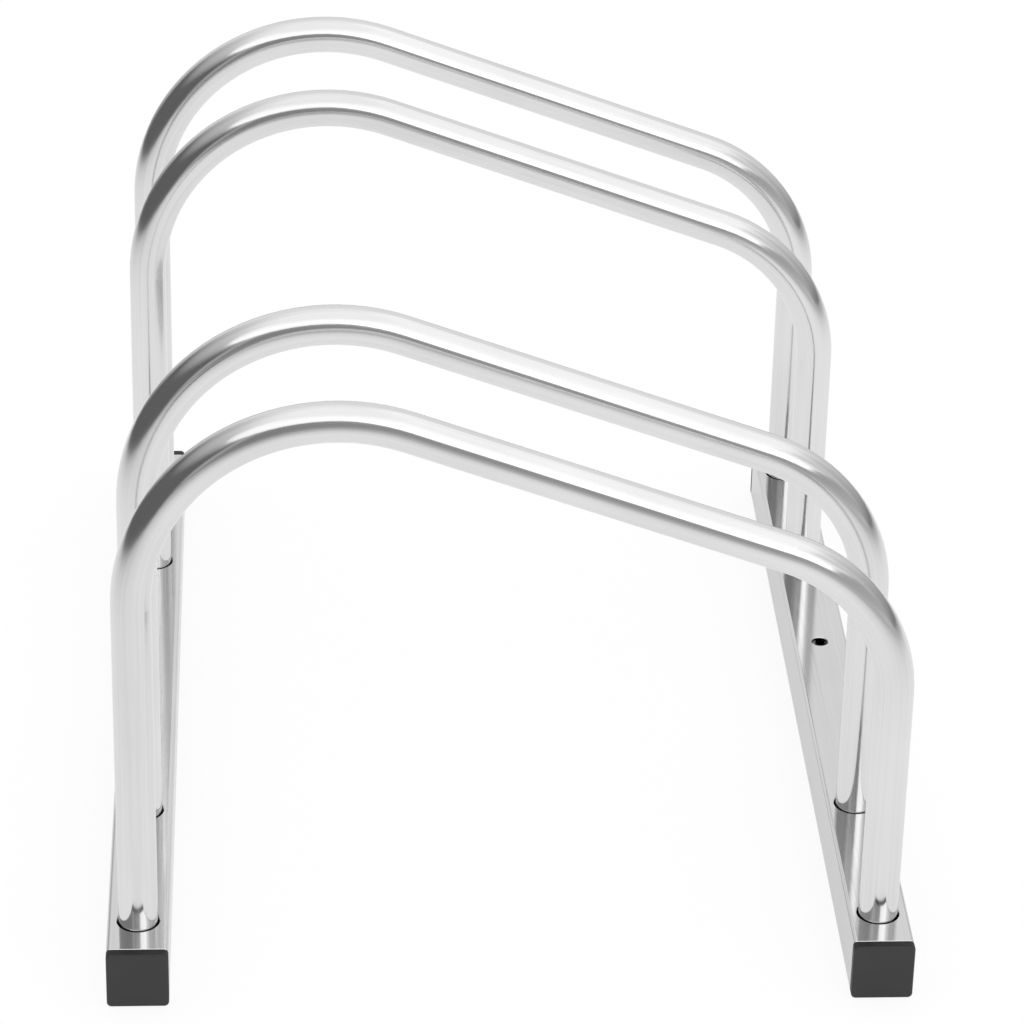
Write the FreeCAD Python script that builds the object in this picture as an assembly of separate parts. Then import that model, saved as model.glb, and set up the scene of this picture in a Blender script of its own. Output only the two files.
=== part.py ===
import FreeCAD, Part
import math
import os

# Floor bike stand: two square base rails, four bent tube hoops in two pairs, plastic end caps on the rails.
# Each hoop foot drops through the rail's top wall, stands on its bottom wall and is pulled down there
# by a countersunk screw that turns into a threaded plug pressed into the tube's end.
# Millimetres. X runs across the rails, Y along them towards the back and Z up.
# The origin is on the floor, in the middle.

# Base rails, square steel tube
rail_width = 25.0
rail_wall = 1.2
rail_corner = 2.0
rail_end_edge = 0.4
rail_hole_edge = 0.3
rail_spacing = 300.0

# Hoops, round steel tube bent in one plane: tall leg on the left, short leg on the right
tube_diameter = 16.0
tube_wall = 1.2
hoop_height = 260.0
hoop_slope = 20.0
tall_bend = 80.0
short_bend = 68.0

# Places of the hoops along the rails
slot_pitch = 293.0
hoop_pair_spacing = 82.0
rail_end_margin = 20.8

# One hole in each rail for a floor screw, a little behind the middle
floor_hole_diameter = 7.2
floor_hole_offset = 28.0

# End caps, moulded plastic
cap_flange = 4.2
cap_edge = 0.9
cap_insert = 10.0
cap_insert_wall = 1.6
cap_rib_count = 3
cap_rib_thickness = 1.4
cap_rib_depth = 1.1
cap_rib_taper = 0.4

# Fixing of a foot: threaded plug in the tube, screw from below in a pressed dimple
screw_diameter = 6.0
screw_length = 16.0
screw_tip = 0.8
socket_across_flats = 4.0
socket_depth = 2.0
plug_length = 15.0
plug_edge = 0.8
dimple_land = 1.0

# Clearances, on the radius or on one side
foot_clearance = 0.6
plug_clearance = 0.05
thread_clearance = 0.05
screw_hole_clearance = 0.2
head_clearance = 0.02
head_recess = 0.1
dimple_clearance = 0.2
cap_clearance = 0.1

# Worked out from the sizes above
rail_length = slot_pitch + hoop_pair_spacing + 2 * rail_end_margin
rail_inside = rail_width - 2 * rail_wall
rail_inside_corner = max(rail_corner - rail_wall, 0.3)
tube_radius = tube_diameter / 2
tube_bore = tube_radius - tube_wall
screw_radius = screw_diameter / 2
screw_hole = screw_radius + screw_hole_clearance
foot_level = rail_wall
hoop_places = [side * slot_pitch / 2 + half * hoop_pair_spacing / 2 for side in (-1, 1) for half in (-1, 1)]
rail_places = {"left": -rail_spacing / 2, "right": rail_spacing / 2}

# The dimple is a right-angled cone pressed up into the tube's bore, one wall thick all the way
cone_step = rail_wall * math.sqrt(2)
dimple_base = tube_bore - dimple_clearance
dimple_mouth = dimple_base + rail_wall - cone_step
dimple_height = dimple_mouth - screw_hole + dimple_land
dimple_rim = dimple_mouth - dimple_height + cone_step
head_radius = dimple_mouth - head_recess - head_clearance
plug_level = dimple_height + head_clearance

up = FreeCAD.Vector(0, 0, 1)


def point(x, y, z):
    return FreeCAD.Vector(x, y, z)


def revolved(outline):
    # A ring or pin turned about the Z axis from (radius, height) points
    corners = [point(radius, 0, height) for radius, height in outline]
    profile = Part.Face(Part.makePolygon(corners + corners[:1]))
    return profile.revolve(point(0, 0, 0), up, 360)


def rounded_square(side, corner, y):
    # Outline in an upright plane, centred on the rail's axis
    flat = side / 2 - corner
    edges = []
    for quarter in range(4):
        turn = math.radians(90 * quarter)
        across, along = math.cos(turn), math.sin(turn)
        middle_x = flat * (across - along)
        middle_z = flat * (along + across) + rail_width / 2
        bends = []
        for angle in (0, 45, 90):
            bearing = turn + math.radians(angle)
            x = middle_x + corner * math.cos(bearing)
            z = middle_z + corner * math.sin(bearing)
            bends.append(point(x, y, z))
        edges.append(Part.Arc(*bends).toShape())
    sides = []
    for number, arc in enumerate(edges):
        following = edges[(number + 1) % 4]
        arc_end = arc.valueAt(arc.LastParameter)
        next_start = following.valueAt(following.FirstParameter)
        sides += [arc, Part.makeLine(arc_end, next_start)]
    return Part.Wire(sides)


def square_bar(side, corner, y_from, y_to):
    return Part.Face(rounded_square(side, corner, y_from)).extrude(point(0, y_to - y_from, 0))


def drill(radius, depth, y):
    # Cutter for a hole from the rail's top face down, with a deburred edge
    hole = Part.makeCylinder(radius, depth, point(0, y, rail_width - depth))
    edge_level = rail_width - rail_hole_edge
    edge = Part.makeCone(radius, radius + rail_hole_edge, rail_hole_edge, point(0, y, edge_level))
    return hole.fuse(edge)


def make_rail():
    half = rail_length / 2
    rail = square_bar(rail_width, rail_corner, -half, half)
    end_edges = [edge for edge in rail.Edges if edge.BoundBox.YLength < half]
    rail = rail.makeChamfer(rail_end_edge, end_edges)
    rail = rail.cut(square_bar(rail_inside, rail_inside_corner, -half, half))
    dimple = revolved([
        (dimple_mouth, 0),
        (dimple_base, 0),
        (dimple_base, rail_wall),
        (dimple_rim, dimple_height),
        (screw_hole, dimple_height),
        (screw_hole, dimple_height - dimple_land),
    ])
    for y in hoop_places:
        place = point(0, y, 0)
        rail = rail.cut(drill(tube_radius + foot_clearance, rail_wall, y))
        rail = rail.cut(Part.makeCylinder(dimple_base, rail_wall, place))
        rail = rail.fuse(dimple.translated(place))
    floor_hole = drill(floor_hole_diameter / 2, rail_width, floor_hole_offset)
    return rail.cut(floor_hole).removeSplitter()


def hoop_path():
    # Centreline: up the tall leg, round the large bend, down the slope,
    # round the small bend and down the short leg
    slope = math.radians(hoop_slope)
    normal = point(math.sin(slope), 0, math.cos(slope))
    left, right = rail_places["left"], rail_places["right"]
    tall_centre = point(left + tall_bend, 0, hoop_height - tube_radius - tall_bend)
    short_x = right - short_bend
    run_from_axis = tall_centre.dot(normal) + tall_bend
    short_z = (run_from_axis - short_bend - short_x * normal.x) / normal.z
    short_centre = point(short_x, 0, short_z)

    def on_bend(centre, radius, angle):
        return centre + point(math.cos(angle), 0, math.sin(angle)) * radius

    run_angle = math.pi / 2 - slope
    tall_arc = [on_bend(tall_centre, tall_bend, a) for a in (math.pi, (math.pi + run_angle) / 2, run_angle)]
    short_arc = [on_bend(short_centre, short_bend, a) for a in (run_angle, run_angle / 2, 0)]
    return Part.Wire([
        Part.makeLine(point(left, 0, foot_level), tall_arc[0]),
        Part.Arc(*tall_arc).toShape(),
        Part.makeLine(tall_arc[2], short_arc[0]),
        Part.Arc(*short_arc).toShape(),
        Part.makeLine(short_arc[2], point(right, 0, foot_level)),
    ])


def make_hoop():
    path = hoop_path()
    start = point(rail_places["left"], 0, foot_level)

    def swept(radius):
        return path.makePipeShell([Part.Wire(Part.makeCircle(radius, start, up))], True, False)

    return swept(tube_radius).cut(swept(tube_bore))


def make_plug():
    radius = tube_bore - plug_clearance
    bore = screw_radius + thread_clearance
    top = plug_level + plug_length
    return revolved([
        (bore, plug_level),
        (radius - plug_edge, plug_level),
        (radius, plug_level + plug_edge),
        (radius, top - plug_edge),
        (radius - plug_edge, top),
        (bore, top),
    ])


def make_screw():
    tip = head_recess + screw_length
    body = revolved([
        (0, head_recess),
        (head_radius, head_recess),
        (screw_radius, head_recess + head_radius - screw_radius),
        (screw_radius, tip - screw_tip),
        (screw_radius - screw_tip, tip),
        (0, tip),
    ])
    across_corners = socket_across_flats / math.cos(math.pi / 6)
    corners = []
    for number in range(7):
        angle = number * math.pi / 3
        corners.append(point(math.cos(angle), math.sin(angle), 0) * (across_corners / 2) + up * head_recess)
    socket = Part.Face(Part.makePolygon(corners)).extrude(up * socket_depth)
    return body.cut(socket)


def make_cap():
    # Cap for the front end of a rail: flush flange outside, hollow ribbed insert inside
    rail_end = -rail_length / 2
    outside = rail_end - cap_flange
    tip = rail_end + cap_insert
    flange = square_bar(rail_width, rail_corner, outside, rail_end)
    face_edges = [edge for edge in flange.Edges if edge.BoundBox.YMax < outside + cap_flange / 2]
    cap = flange.makeFillet(min(cap_edge, cap_flange / 2), face_edges)
    fit_side = rail_inside - 2 * cap_clearance
    core_side = fit_side - 2 * cap_rib_depth
    corner = rail_inside_corner
    cap = cap.fuse(square_bar(core_side, corner, rail_end, tip))
    rib_pitch = cap_insert / cap_rib_count
    for number in range(cap_rib_count):
        rib_start = rail_end + rib_pitch * (number + 0.5) - cap_rib_thickness / 2
        wide = rounded_square(fit_side, corner, rib_start)
        narrow = rounded_square(fit_side - 2 * cap_rib_taper, corner, rib_start + cap_rib_thickness)
        cap = cap.fuse(Part.makeLoft([wide, narrow], True, True))
    hollow_side = core_side - 2 * cap_insert_wall
    return cap.cut(square_bar(hollow_side, corner, rail_end, tip)).removeSplitter()


def export(name, shape):
    shape.exportStep("parts/" + name + ".step")
    print(name, "solids", len(shape.Solids), "valid", shape.isValid(), "volume", round(shape.Volume, 1))


os.makedirs("parts", exist_ok=True)
rail, hoop, plug, screw, front_cap = make_rail(), make_hoop(), make_plug(), make_screw(), make_cap()
rear_cap = front_cap.rotated(point(0, 0, 0), up, 180)

for side, x in rail_places.items():
    export(side + "_rail", rail.translated(point(x, 0, 0)))
    export(side + "_front_cap", front_cap.translated(point(x, 0, 0)))
    export(side + "_rear_cap", rear_cap.translated(point(x, 0, 0)))

for number, y in enumerate(hoop_places, 1):
    hoop_name = "hoop_" + str(number)
    export(hoop_name, hoop.translated(point(0, y, 0)))
    for side, x in rail_places.items():
        export(hoop_name + "_" + side + "_plug", plug.translated(point(x, y, 0)))
        export(hoop_name + "_" + side + "_screw", screw.translated(point(x, y, 0)))
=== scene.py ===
import math
import bpy
import bmesh
from mathutils import Matrix, Vector

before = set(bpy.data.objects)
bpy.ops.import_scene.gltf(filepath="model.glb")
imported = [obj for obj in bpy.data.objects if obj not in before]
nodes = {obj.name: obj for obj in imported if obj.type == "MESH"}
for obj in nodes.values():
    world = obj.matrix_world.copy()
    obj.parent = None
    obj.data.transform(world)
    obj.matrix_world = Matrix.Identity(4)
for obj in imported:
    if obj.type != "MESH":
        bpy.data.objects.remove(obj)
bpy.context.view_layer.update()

# Floor bike stand in bright zinc plated steel tube, charcoal caps in the rail ends.
# Metres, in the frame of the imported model: X across the rails, Y towards the back, Z up.

scene = bpy.context.scene
scene.view_settings.view_transform = "Standard"
mm = 0.001
plainWhite = (1, 1, 1, 1)
noiseSpan = (0.3, 0.7)            # nearly all values of a noise texture lie between these
productSpan = (0.12, 0.42)        # and those of two noises multiplied, between these

# a Mix node has its numbers and its colours side by side, so its sockets are told by number
valueA, valueB, valueOut = 2, 3, 0
colourA, colourB, colourOut = 6, 7, 2


# sRGB hex to linear, with full alpha
def toLinear(hexColour):
    channels = [int(hexColour[i:i + 2], 16) / 255 for i in (1, 3, 5)]
    linear = [c / 12.92 if c <= 0.04045 else ((c + 0.055) / 1.055) ** 2.4 for c in channels]
    return (*linear, 1.0)


# one node with its settings and links: a key is a property of the node, or the name or number of an input
def addNode(tree, kind, settings=None, links=None):
    node = tree.nodes.new("ShaderNode" + kind)
    for key, value in (settings or {}).items():
        if isinstance(key, str) and hasattr(node, key):
            setattr(node, key, value)
        else:
            node.inputs[key].default_value = value
    for key, source in (links or {}).items():
        tree.links.new(source, node.inputs[key])
    return node


def newMaterial(name):
    material = bpy.data.materials.new(name)
    material.use_nodes = True
    material.node_tree.nodes.clear()
    return material, material.node_tree


print("frame loaded,", len(nodes), "nodes")

# Cold drawn steel tube with bright zinc plating. To the eye: a clear mirror with a light haze, fine lines
# along the tube from the drawing die, and a plating tone that drifts a little over a hand's breadth.
tubePlating = {
    "name": "bright_zinc_on_drawn_tube",
    "colour": "#E1E1E1",
    "darker": "#D7D7D7",
    "grazing": "#F8F8F8",
    "roughness": (0.1, 0.165),
    "lineSpacing": 0.55 * mm,     # real die lines are about 0.1 mm, drawn coarser so that they show
    "lineLength": 140 * mm,
    "lineDepth": 0.004 * mm,
    "cloudSize": 60 * mm,
}

# Welded square tube, rolled to shape and zinc plated with the hoops. To the eye: the same mirror, a little
# clearer, with lines along the rail.
railPlating = {
    "name": "bright_zinc_on_rolled_tube",
    "colour": "#DDDDDD",
    "darker": "#D3D3D3",
    "grazing": "#EAEAEA",         # zinc loses a little at glancing angles, as the rails' flat sides show
    "roughness": (0.07, 0.12),
    "lineSpacing": 0.7 * mm,      # coarser than real roll marks, for the same reason
    "lineLength": 180 * mm,
    "lineDepth": 0.003 * mm,
    "cloudSize": 70 * mm,
}


# lengthwise is the axis, or the two axes, in which the lines run on
def platedSteel(look, lengthwise):
    material, tree = newMaterial(look["name"])
    place = addNode(tree, "TexCoord").outputs["Object"]
    stretch = [1 / look["lineLength"] if axis in lengthwise else 1 / look["lineSpacing"] for axis in "XYZ"]
    along = addNode(tree, "Mapping", {"Scale": stretch}, {"Vector": place})
    lines = addNode(tree, "TexNoise", {"Scale": 1.0, "Detail": 3.0, "Roughness": 0.6},
                    {"Vector": along.outputs["Vector"]})
    cloud = addNode(tree, "TexNoise", {"Scale": 1 / look["cloudSize"], "Detail": 2.0}, {"Vector": place})
    tone = addNode(tree, "Math", {"operation": "MULTIPLY"},
                   {0: lines.outputs["Fac"], 1: cloud.outputs["Fac"]})
    toned = addNode(tree, "MapRange", {"From Min": productSpan[0], "From Max": productSpan[1]},
                    {"Value": tone.outputs["Value"]})
    colour = addNode(tree, "Mix", {"data_type": "RGBA", colourA: toLinear(look["colour"]),
                                   colourB: toLinear(look["darker"])},
                     {"Factor": toned.outputs["Result"]})
    low, high = look["roughness"]
    haze = addNode(tree, "MapRange", {"From Min": noiseSpan[0], "From Max": noiseSpan[1],
                                      "To Min": low, "To Max": high},
                   {"Value": lines.outputs["Fac"]})
    bump = addNode(tree, "Bump", {"Strength": 1.0, "Distance": look["lineDepth"]},
                   {"Height": lines.outputs["Fac"]})
    steel = addNode(tree, "BsdfPrincipled", {"Metallic": 1.0, "Specular Tint": toLinear(look["grazing"])},
                    {"Base Color": colour.outputs[colourOut], "Roughness": haze.outputs["Result"],
                     "Normal": bump.outputs["Normal"]})
    addNode(tree, "OutputMaterial", links={"Surface": steel.outputs["BSDF"]})
    return material


# Soft polyethylene, injection moulded with a spark eroded face. To the eye: a matt charcoal face with a
# fine even grain, and a rim darkened with painted shade where the flange's top and sides turn from the
# face.
capPlastic = {
    "name": "moulded_polyethylene_charcoal",
    "colour": "#303030",
    "lighter": "#363636",
    # the rim colour is painted shade on the flange's top and sides
    "rim": "#121212",
    "rimShadeTurn": (0.1, 0.7),        # how far a surface faces along the rail: all rim below, all face above
    "specular": 0.3,
    "roughness": (0.42, 0.56),
    "ior": 1.51,
    "grain": 0.45 * mm,           # spark grain is about 0.05 mm, drawn coarser so that it shows
    "grainDepth": 0.012 * mm,
    "cloudSize": 15 * mm,
}


def mouldedPlastic(look):
    material, tree = newMaterial(look["name"])
    place = addNode(tree, "TexCoord").outputs["Object"]
    grain = addNode(tree, "TexNoise", {"Scale": 1 / look["grain"], "Detail": 2.0}, {"Vector": place})
    cloud = addNode(tree, "TexNoise", {"Scale": 1 / look["cloudSize"], "Detail": 1.0}, {"Vector": place})
    frosted = addNode(tree, "Mix", {"data_type": "RGBA", colourA: toLinear(look["colour"]),
                                    colourB: toLinear(look["lighter"])},
                      {"Factor": cloud.outputs["Fac"]})
    # painted shade: surfaces that turn away from the rail's axis, the flange's top and sides, take the dark
    # rim colour
    facing = addNode(tree, "SeparateXYZ", links={"Vector": addNode(tree, "TexCoord").outputs["Normal"]})
    flat = addNode(tree, "Math", {"operation": "ABSOLUTE"}, {0: facing.outputs["Y"]})
    outsideRimShade = addNode(tree, "MapRange", {"From Min": look["rimShadeTurn"][0], "From Max": look["rimShadeTurn"][1]},
                     {"Value": flat.outputs["Value"]})
    colour = addNode(tree, "Mix", {"data_type": "RGBA", colourA: toLinear(look["rim"])},
                     {"Factor": outsideRimShade.outputs["Result"], colourB: frosted.outputs[colourOut]})
    low, high = look["roughness"]
    haze = addNode(tree, "MapRange", {"From Min": noiseSpan[0], "From Max": noiseSpan[1],
                                      "To Min": low, "To Max": high},
                   {"Value": grain.outputs["Fac"]})
    bump = addNode(tree, "Bump", {"Strength": 1.0, "Distance": look["grainDepth"]},
                   {"Height": grain.outputs["Fac"]})
    plastic = addNode(tree, "BsdfPrincipled", {"IOR": look["ior"], "Specular IOR Level": look["specular"]},
                      {"Base Color": colour.outputs[colourOut], "Roughness": haze.outputs["Result"],
                       "Normal": bump.outputs["Normal"]})
    addNode(tree, "OutputMaterial", links={"Surface": plastic.outputs["BSDF"]})
    return material


# Turned and rolled steel fasteners with a thinner zinc. To the eye: duller, with a fine mottle.
fastenerSteel = {
    "name": "zinc_plated_fastener_steel",
    "colour": "#C5C5C5",
    "darker": "#AFAFAF",
    "roughness": (0.22, 0.36),
    "mottle": 0.9 * mm,
}


def fastenerZinc(look):
    material, tree = newMaterial(look["name"])
    place = addNode(tree, "TexCoord").outputs["Object"]
    mottle = addNode(tree, "TexNoise", {"Scale": 1 / look["mottle"], "Detail": 3.0}, {"Vector": place})
    colour = addNode(tree, "Mix", {"data_type": "RGBA", colourA: toLinear(look["colour"]),
                                   colourB: toLinear(look["darker"])},
                     {"Factor": mottle.outputs["Fac"]})
    low, high = look["roughness"]
    haze = addNode(tree, "MapRange", {"From Min": noiseSpan[0], "From Max": noiseSpan[1],
                                      "To Min": low, "To Max": high},
                   {"Value": mottle.outputs["Fac"]})
    steel = addNode(tree, "BsdfPrincipled", {"Metallic": 1.0},
                    {"Base Color": colour.outputs[colourOut], "Roughness": haze.outputs["Result"]})
    addNode(tree, "OutputMaterial", links={"Surface": steel.outputs["BSDF"]})
    return material


hoopSteel = platedSteel(tubePlating, "XZ")
railSteel = platedSteel(railPlating, "Y")
capCharcoal = mouldedPlastic(capPlastic)
fastener = fastenerZinc(fastenerSteel)

# the last word of a node's name tells its finish, and a hoop's name ends in its number
finishOf = {"rail": railSteel, "cap": capCharcoal, "plug": fastener, "screw": fastener}
for name, node in nodes.items():
    finish = finishOf.get(name.split("_")[-1], hoopSteel)
    for materialSlot in node.material_slots:
        materialSlot.material = finish
print("finishes on", len(nodes), "nodes")

# Floor: pale and plain. It is white to the camera and keeps a faint shadow. In the mirrors it is a bright
# pool round the stand that falls off further out.
floorLook = {
    "half": 6.0,
    "drop": 0.2 * mm,             # keeps it clear of the rails' undersides
    "albedo": 0.97,
    "shadowShare": 0.12,          # of what the camera sees, the rest is plain white
    "mirrorShare": 0.4,           # the same in the mirrors, where the floor close to the rails is darker
    "poolCentre": (0.05, 0.12, 0.0),
    "poolFrom": 0.35,
    "poolTo": 1.5,
    "poolEdge": 0.52,
}


def makeFloor(look):
    material, tree = newMaterial("pale_studio_floor")
    path = addNode(tree, "LightPath")
    place = addNode(tree, "TexCoord").outputs["Object"]
    distance = addNode(tree, "VectorMath", {"operation": "DISTANCE", 1: look["poolCentre"]}, {0: place})
    pool = addNode(tree, "MapRange", {"interpolation_type": "SMOOTHSTEP",
                                      "From Min": look["poolFrom"], "From Max": look["poolTo"],
                                      "To Min": 1.0, "To Max": look["poolEdge"]},
                   {"Value": distance.outputs["Value"]})
    seen = addNode(tree, "Mix", {"data_type": "FLOAT", valueB: 1.0},
                   {"Factor": path.outputs["Is Camera Ray"], valueA: pool.outputs["Result"]})
    glow = addNode(tree, "Emission", {"Color": plainWhite}, {"Strength": seen.outputs[valueOut]})
    paint = addNode(tree, "Math", {"operation": "MULTIPLY", 1: look["albedo"]}, {0: seen.outputs[valueOut]})
    matt = addNode(tree, "BsdfDiffuse", links={"Color": paint.outputs["Value"]})
    mirrored = addNode(tree, "Math", {"operation": "MAXIMUM"},
                       {0: path.outputs["Is Glossy Ray"], 1: path.outputs["Is Transmission Ray"]})
    inMirror = addNode(tree, "Math", {"operation": "MULTIPLY", 1: 1 - look["mirrorShare"]},
                       {0: mirrored.outputs["Value"]})
    share = addNode(tree, "Mix", {"data_type": "FLOAT", valueB: 1 - look["shadowShare"]},
                    {"Factor": path.outputs["Is Camera Ray"], valueA: inMirror.outputs["Value"]})
    surface = addNode(tree, "MixShader", links={0: share.outputs[valueOut], 1: matt.outputs["BSDF"],
                                                2: glow.outputs["Emission"]})
    addNode(tree, "OutputMaterial", links={"Surface": surface.outputs["Shader"]})
    mesh = bpy.data.meshes.new("floor")
    build = bmesh.new()
    bmesh.ops.create_grid(build, x_segments=1, y_segments=1, size=look["half"])
    build.to_mesh(mesh)
    build.free()
    floor = bpy.data.objects.new("floor", mesh)
    mesh.materials.append(material)
    scene.collection.objects.link(floor)
    floor.location.z = -look["drop"]


makeFloor(floorLook)
print("floor laid")

# Cards round the stand, only for the mirrors in the steel. Bearings go clockwise from the back, in degrees.
# A row is reach, height, shade and cover. Fades are the degrees over which a card comes in at its sides.
# Some cards have tones, factors on the shade at some bearings, or a lift, the height of the foot there.
cards = {
    # dark flag on the left, which comes in along the floor
    "left_flag": {
        "bearings": (-154, -24),
        "fades": (8, 32),
        "rows": ((0.9, 0.001, 0.5, 0.0), (1.4, 0.001, 0.2, 1.0), (2.2, 0.002, 0.14, 1.0),
                 (2.2, 1.05, 0.14, 1.0), (2.2, 1.32, 0.3, 1.0), (2.2, 1.6, 0.45, 1.0),
                 (2.2, 2.0, 0.57, 1.0), (2.2, 2.6, 0.72, 1.0), (2.2, 3.6, 0.95, 1.0),
                 (2.2, 6.0, 1.1, 0.0)),
    },
    # grey below the silk in front, behind the camera
    "front_shade": {
        "bearings": (100, 212),
        "fades": (14, 8),
        "tones": ((100, 1.2), (120, 1.32), (135, 1.2), (150, 1.08), (212, 0.65)),
        "rows": ((2.2, 0.0, 0.52, 1.0), (2.2, 0.25, 0.4, 1.0), (2.2, 0.7, 0.34, 1.0),
                 (2.2, 1.3, 0.39, 1.0), (2.2, 1.9, 0.42, 1.0), (2.2, 2.4, 0.6, 0.0)),
    },
    # white silk in front, over the camera, with a slanting foot
    "front_silk": {
        "bearings": (104, 256),
        "fades": (32, 26),
        "lift": ((104, 0.9), (130, 0.92), (147, 0.5), (160, 0.82), (176, 1.35), (210, 1.4), (222, 1.47),
                 (236, 1.85), (256, 2.8)),
        "rows": ((2.1, 0.0, 1.36, 0.0), (2.1, 0.0, 1.36, 1.0), (2.1, 2.6, 1.36, 1.0),
                 (2.1, 3.4, 1.26, 1.0), (2.1, 5.5, 1.18, 0.0)),
    },
    # hot patch on that silk from the lamp behind it
    "silk_core": {
        "bearings": (134, 180),
        "fades": (8, 8),
        "lift": ((134, 0.77), (147, 0.5), (160, 0.82), (176, 1.35), (180, 1.36)),
        "rows": ((2.05, 0.0, 1.9, 0.0), (2.05, 0.0, 1.9, 1.0), (2.05, 1.3, 1.9, 1.0),
                 (2.05, 2.2, 1.6, 0.0)),
    },
    # grey card on the right
    "right_card": {
        "bearings": (28, 122),
        "fades": (24, 14),
        "tones": ((28, 1.15), (57, 1.2), (72, 0.88), (88, 0.84), (102, 1.05), (122, 1.05)),
        "rows": ((2.3, 0.0, 0.2, 1.0), (2.3, 0.15, 0.33, 1.0), (2.3, 0.3, 0.44, 1.0),
                 (2.3, 1.0, 0.66, 1.0), (2.3, 1.5, 0.82, 1.0), (2.3, 2.0, 0.97, 1.0),
                 (2.3, 2.6, 1.1, 0.0)),
    },
    # brighter silk above that card
    "right_silk": {
        "bearings": (20, 132),
        "fades": (16, 16),
        "rows": ((2.25, 1.6, 0.95, 0.0), (2.25, 2.5, 1.2, 1.0), (2.25, 4.2, 1.24, 1.0),
                 (2.25, 8.0, 1.18, 0.0)),
    },
}
cardSteps = 48                    # faces across a card
footSoftness = 0.12               # height over which a lifted foot comes in


# straight line between the two points of the list that the place lies between
def between(points, place):
    for (low, first), (high, last) in zip(points, points[1:]):
        if place <= high:
            return first + (last - first) * (place - low) / (high - low)
    return points[-1][1]


def makeCard(name, look):
    mesh = bpy.data.meshes.new(name)
    build = bmesh.new()
    shade = build.verts.layers.float.new("shade")
    cover = build.verts.layers.float.new("cover")
    start, stop = look["bearings"]
    fadeIn, fadeOut = look["fades"]
    sides = ((start, 0), (start + fadeIn, 1), (stop - fadeOut, 1), (stop, 0))
    tones = look.get("tones", ((start, 1.0), (stop, 1.0)))
    lift = look.get("lift", ((start, 0), (stop, 0)))
    rims = []
    for number, (reach, height, rowShade, rowCover) in enumerate(look["rows"]):
        rim = []
        for i in range(cardSteps + 1):
            bearing = start + (stop - start) * i / cardSteps
            turn = math.radians(bearing)
            foot = between(lift, bearing)
            rise = max(height, foot + footSoftness * number) if foot else height
            corner = build.verts.new((reach * math.sin(turn), reach * math.cos(turn), rise))
            corner[shade] = rowShade * between(tones, bearing)
            corner[cover] = rowCover * between(sides, bearing)
            rim.append(corner)
        rims.append(rim)
    for low, high in zip(rims, rims[1:]):
        for i in range(cardSteps):
            build.faces.new((low[i], low[i + 1], high[i + 1], high[i]))
    build.to_mesh(mesh)
    build.free()
    card = bpy.data.objects.new(name, mesh)
    scene.collection.objects.link(card)
    material, tree = newMaterial(name + "_cloth")
    shadeAt = addNode(tree, "Attribute", {"attribute_name": "shade"})
    coverAt = addNode(tree, "Attribute", {"attribute_name": "cover"})
    cloth = addNode(tree, "Emission", {"Color": plainWhite}, {"Strength": shadeAt.outputs["Fac"]})
    clear = addNode(tree, "BsdfTransparent")
    surface = addNode(tree, "MixShader", links={0: coverAt.outputs["Fac"], 1: clear.outputs["BSDF"],
                                                2: cloth.outputs["Emission"]})
    addNode(tree, "OutputMaterial", links={"Surface": surface.outputs["Shader"]})
    mesh.materials.append(material)
    card.visible_camera = False
    card.visible_diffuse = False
    card.visible_shadow = False


for name, look in cards.items():
    makeCard(name, look)
print(len(cards), "cards hung")

# An even white tent all round, a little brighter overhead. lowTo and highFrom are sines of elevation.
tent = {"low": 0.93, "high": 1.15, "lowTo": 0.6, "highFrom": 0.98}


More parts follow.
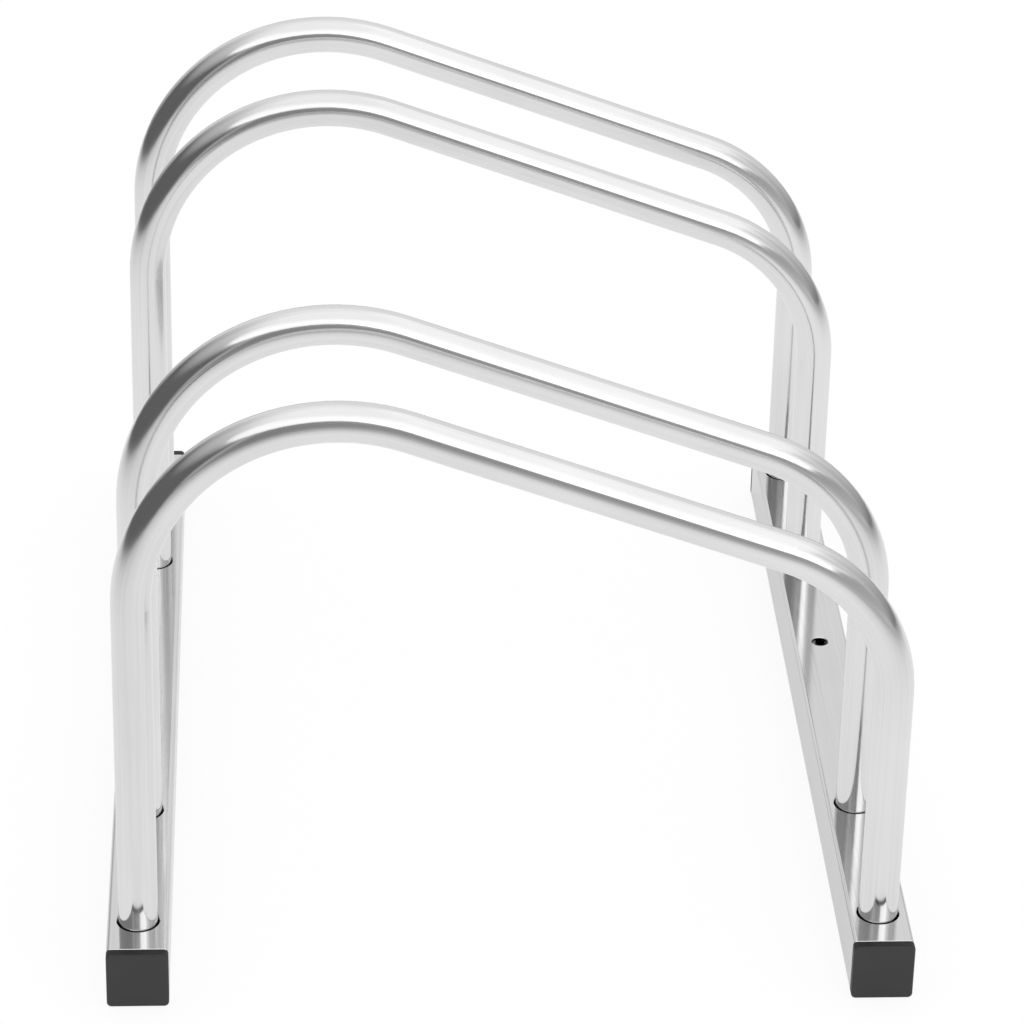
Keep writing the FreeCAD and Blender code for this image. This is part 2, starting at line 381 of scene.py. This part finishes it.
def makeTent(look):
    world = bpy.data.worlds.new("white_tent")
    scene.world = world
    world.use_nodes = True
    tree = world.node_tree
    tree.nodes.clear()
    path = addNode(tree, "LightPath")
    bearing = addNode(tree, "SeparateXYZ", links={"Vector": addNode(tree, "TexCoord").outputs["Generated"]})
    glow = addNode(tree, "MapRange", {"From Min": look["lowTo"], "From Max": look["highFrom"],
                                      "To Min": look["low"], "To Max": look["high"]},
                   {"Value": bearing.outputs["Z"]})
    strength = addNode(tree, "Mix", {"data_type": "FLOAT", valueB: 1.0},
                       {"Factor": path.outputs["Is Camera Ray"], valueA: glow.outputs["Result"]})
    sky = addNode(tree, "Background", {"Color": plainWhite}, {"Strength": strength.outputs[valueOut]})
    addNode(tree, "OutputWorld", links={"Surface": sky.outputs["Background"]})


# Softbox before the stand, right of the camera. Bearing and elevation are in degrees, seen from the target.
softbox = {
    "bearing": 160,
    "elevation": 44,
    "distance": 2.4,
    "width": 3.0,
    "height": 1.7,
    "radiance": 0.5,
    "target": (0, 0, 0.15),
}


def makeSoftbox(look):
    lamp = bpy.data.lights.new("softbox", "AREA")
    lamp.shape = "RECTANGLE"
    lamp.size = look["width"]
    lamp.size_y = look["height"]
    lamp.energy = look["radiance"] * math.pi * look["width"] * look["height"]
    softboxLamp = bpy.data.objects.new("softbox", lamp)
    turn, rise = math.radians(look["bearing"]), math.radians(look["elevation"])
    outwards = Vector((math.sin(turn) * math.cos(rise), math.cos(turn) * math.cos(rise), math.sin(rise)))
    softboxLamp.location = Vector(look["target"]) + outwards * look["distance"]
    softboxLamp.rotation_euler = outwards.to_track_quat("Z", "Y").to_euler()
    softboxLamp.visible_camera = False
    softboxLamp.visible_glossy = False    # the silk stands for it in the mirrors
    scene.collection.objects.link(softboxLamp)


makeTent(tent)
makeSoftbox(softbox)
print("light set")

# Camera where the photograph was taken from: its place and angles come from a fit to the stand's edges
photoView = {
    "place": (-0.09313, -1.67473, 1.03962),
    "yaw": 3.4704,                # degrees, to the right
    "pitch": 29.0413,             # degrees, down
    "roll": 1.3544,
    "focalPixels": 4431.6,
    "framePixels": 1024,
    "sensorWidth": 36,
}


def makeCamera(look):
    lens = bpy.data.cameras.new("photograph")
    lens.sensor_width = look["sensorWidth"]
    lens.lens = look["focalPixels"] / look["framePixels"] * look["sensorWidth"]
    camera = bpy.data.objects.new("photograph", lens)
    scene.collection.objects.link(camera)
    yaw = Matrix.Rotation(math.radians(-look["yaw"]), 4, "Z")
    pitch = Matrix.Rotation(math.radians(90 - look["pitch"]), 4, "X")
    roll = Matrix.Rotation(math.radians(look["roll"]), 4, "Z")
    aim = yaw @ pitch @ roll
    camera.matrix_world = Matrix.Translation(look["place"]) @ aim
    scene.camera = camera


makeCamera(photoView)
print("camera set")
